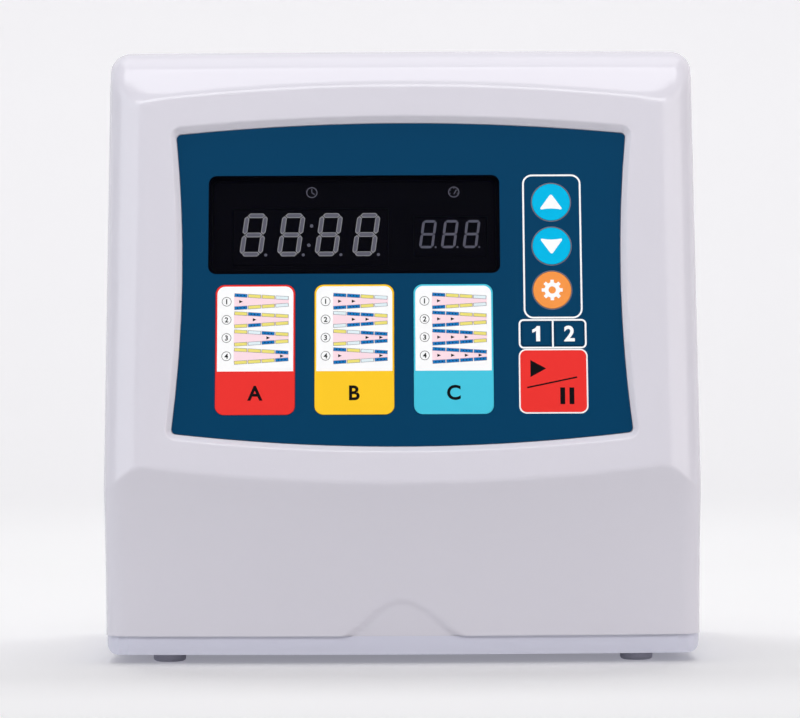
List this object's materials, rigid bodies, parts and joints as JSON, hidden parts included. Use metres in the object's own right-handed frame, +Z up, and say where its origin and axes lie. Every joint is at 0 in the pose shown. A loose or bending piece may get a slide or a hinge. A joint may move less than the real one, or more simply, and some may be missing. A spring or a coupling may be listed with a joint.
{
  "type": "compression therapy pump",
  "caption": "Desktop pump for sequential compression therapy: white leaning housing, recessed blue key panel with a display, four-way air outlets on the side.",
  "frame": {"origin": "on the table, under the middle of the housing", "axes": "+X to the right as seen from the front, +Y to the back, +Z up"},
  "size_m": [0.274, 0.19, 0.2847],
  "materials": {
    "housing_plastic": "finely textured white ABS",
    "foot_rubber": "matte grey rubber",
    "screw_steel": "zinc plated",
    "overlay_film": "satin blue polyester film",
    "window_pane": "smoked acrylic",
    "board": "green circuit board",
    "display_module": "black face, unlit grey segments",
    "card_red": "printed film, white above a red label",
    "card_yellow": "printed film, white above a yellow label",
    "card_cyan": "printed film, white above a cyan label",
    "key_cyan": "printed film",
    "key_orange": "printed film",
    "key_red": "printed film",
    "black_plastic": "black moulded nylon",
    "components": "parts on the board",
    "cable_grey": "PVC ribbon",
    "cable_brown": "PVC insulated lead",
    "lamination": "varnished laminations",
    "winding": "taped copper winding",
    "plated_steel": "zinc plated",
    "pump_alloy": "die-cast",
    "magnet": "nickel plated",
    "diaphragm_rubber": "moulded EPDM",
    "felt": "pressed felt",
    "manifold_plastic": "moulded nylon",
    "coil_cover": "blue moulded coil",
    "spring_steel": "spring wire",
    "brass": "turned brass",
    "hose": "translucent silicone",
    "socket_plastic": "grey moulded ABS",
    "fuse_metal": "glass tube with metal caps",
    "rocker_red": "red rocker"
  },
  "bodies": {
    "housing": {"top_housing": "housing_plastic", "base_tray": "housing_plastic", "rear_panel": "housing_plastic", "rubber_feet": "foot_rubber", "base_screws": "screw_steel", "rear_screws": "screw_steel", "panel_overlay": "overlay_film", "keypad_backer": "black_plastic", "display_window": "window_pane", "display_board": "board", "board_screws": "screw_steel", "time_display": "display_module", "pressure_display": "display_module", "tact_switches": "black_plastic", "main_board": "board", "board_components": "components", "ribbon_cable": "cable_grey", "power_wiring": "cable_brown", "transformer_core": "lamination", "transformer_coil": "winding", "transformer_bracket": "plated_steel", "pump_frame": "pump_alloy", "pump_cores": "lamination", "pump_coils": "winding", "pump_diaphragms": "diaphragm_rubber", "pump_heads": "black_plastic", "pump_mounts": "diaphragm_rubber", "intake_filter": "felt", "valve_manifold": "manifold_plastic", "valve_coils": "coil_cover", "valve_springs": "spring_steel", "pressure_sensor": "black_plastic", "relief_valve": "brass", "supply_hose": "hose", "outlet_hoses": "hose", "sensor_hose": "hose", "outlet_socket_1": "socket_plastic", "outlet_socket_2": "socket_plastic", "mains_inlet": "black_plastic", "inlet_rivets": "plated_steel", "switch_frame": "black_plastic"},
    "key_mode_a": {"key_mode_a": "card_red"},
    "key_mode_b": {"key_mode_b": "card_yellow"},
    "key_mode_c": {"key_mode_c": "card_cyan"},
    "key_up": {"key_up": "key_cyan"},
    "key_down": {"key_down": "key_cyan"},
    "key_setting": {"key_setting": "key_orange"},
    "key_outlet_1": {"key_outlet_1": "overlay_film"},
    "key_outlet_2": {"key_outlet_2": "overlay_film"},
    "key_start_pause": {"key_start_pause": "key_red"},
    "valve_plunger_1": {"valve_plunger_1": "plated_steel"},
    "valve_plunger_2": {"valve_plunger_2": "plated_steel"},
    "valve_plunger_3": {"valve_plunger_3": "plated_steel"},
    "valve_plunger_4": {"valve_plunger_4": "plated_steel"},
    "pump_armature": {"pump_armature": "magnet"},
    "switch_rocker": {"switch_rocker": "rocker_red"},
    "fuse_drawer": {"fuse_drawer": "black_plastic", "fuses": "fuse_metal"}
  },
  "joints": [
    {"name": "key_mode_a_press", "type": "slide", "parent": "housing", "child": "key_mode_a", "axis": [0, 0.9781, -0.2079], "range_m": [0, 0.0006], "stiffness_N_per_m": 2500, "springref_m": -0.0002},
    {"name": "key_mode_b_press", "type": "slide", "parent": "housing", "child": "key_mode_b", "axis": [0, 0.9781, -0.2079], "range_m": [0, 0.0006], "stiffness_N_per_m": 2500, "springref_m": -0.0002},
    {"name": "key_mode_c_press", "type": "slide", "parent": "housing", "child": "key_mode_c", "axis": [0, 0.9781, -0.2079], "range_m": [0, 0.0006], "stiffness_N_per_m": 2500, "springref_m": -0.0002},
    {"name": "key_up_press", "type": "slide", "parent": "housing", "child": "key_up", "axis": [0, 0.9781, -0.2079], "range_m": [0, 0.0006], "stiffness_N_per_m": 2500, "springref_m": -0.0002},
    {"name": "key_down_press", "type": "slide", "parent": "housing", "child": "key_down", "axis": [0, 0.9781, -0.2079], "range_m": [0, 0.0006], "stiffness_N_per_m": 2500, "springref_m": -0.0002},
    {"name": "key_setting_press", "type": "slide", "parent": "housing", "child": "key_setting", "axis": [0, 0.9781, -0.2079], "range_m": [0, 0.0006], "stiffness_N_per_m": 2500, "springref_m": -0.0002},
    {"name": "key_outlet_1_press", "type": "slide", "parent": "housing", "child": "key_outlet_1", "axis": [0, 0.9781, -0.2079], "range_m": [0, 0.0006], "stiffness_N_per_m": 2500, "springref_m": -0.0002},
    {"name": "key_outlet_2_press", "type": "slide", "parent": "housing", "child": "key_outlet_2", "axis": [0, 0.9781, -0.2079], "range_m": [0, 0.0006], "stiffness_N_per_m": 2500, "springref_m": -0.0002},
    {"name": "key_start_pause_press", "type": "slide", "parent": "housing", "child": "key_start_pause", "axis": [0, 0.9781, -0.2079], "range_m": [0, 0.0006], "stiffness_N_per_m": 2500, "springref_m": -0.0002},
    {"name": "valve_plunger_1_lift", "type": "slide", "parent": "housing", "child": "valve_plunger_1", "axis": [0, 0, 1], "range_m": [0, 0.0015], "stiffness_N_per_m": 300, "springref_m": -0.0015},
    {"name": "valve_plunger_2_lift", "type": "slide", "parent": "housing", "child": "valve_plunger_2", "axis": [0, 0, 1], "range_m": [0, 0.0015], "stiffness_N_per_m": 300, "springref_m": -0.0015},
    {"name": "valve_plunger_3_lift", "type": "slide", "parent": "housing", "child": "valve_plunger_3", "axis": [0, 0, 1], "range_m": [0, 0.0015], "stiffness_N_per_m": 300, "springref_m": -0.0015},
    {"name": "valve_plunger_4_lift", "type": "slide", "parent": "housing", "child": "valve_plunger_4", "axis": [0, 0, 1], "range_m": [0, 0.0015], "stiffness_N_per_m": 300, "springref_m": -0.0015},
    {"name": "pump_armature_stroke", "type": "slide", "parent": "housing", "child": "pump_armature", "axis": [1, 0, 0], "range_m": [-0.0015, 0.0015], "stiffness_N_per_m": 15000},
    {"name": "switch_rocker_tilt", "type": "hinge", "parent": "housing", "child": "switch_rocker", "pos_m": [-0.098, 0.0869, 0.09], "axis": [-1, 0, 0], "range_deg": [0, 20]},
    {"name": "fuse_drawer_slide", "type": "slide", "parent": "housing", "child": "fuse_drawer", "axis": [0, 1, 0], "range_m": [0, 0.0145]}
  ]
}
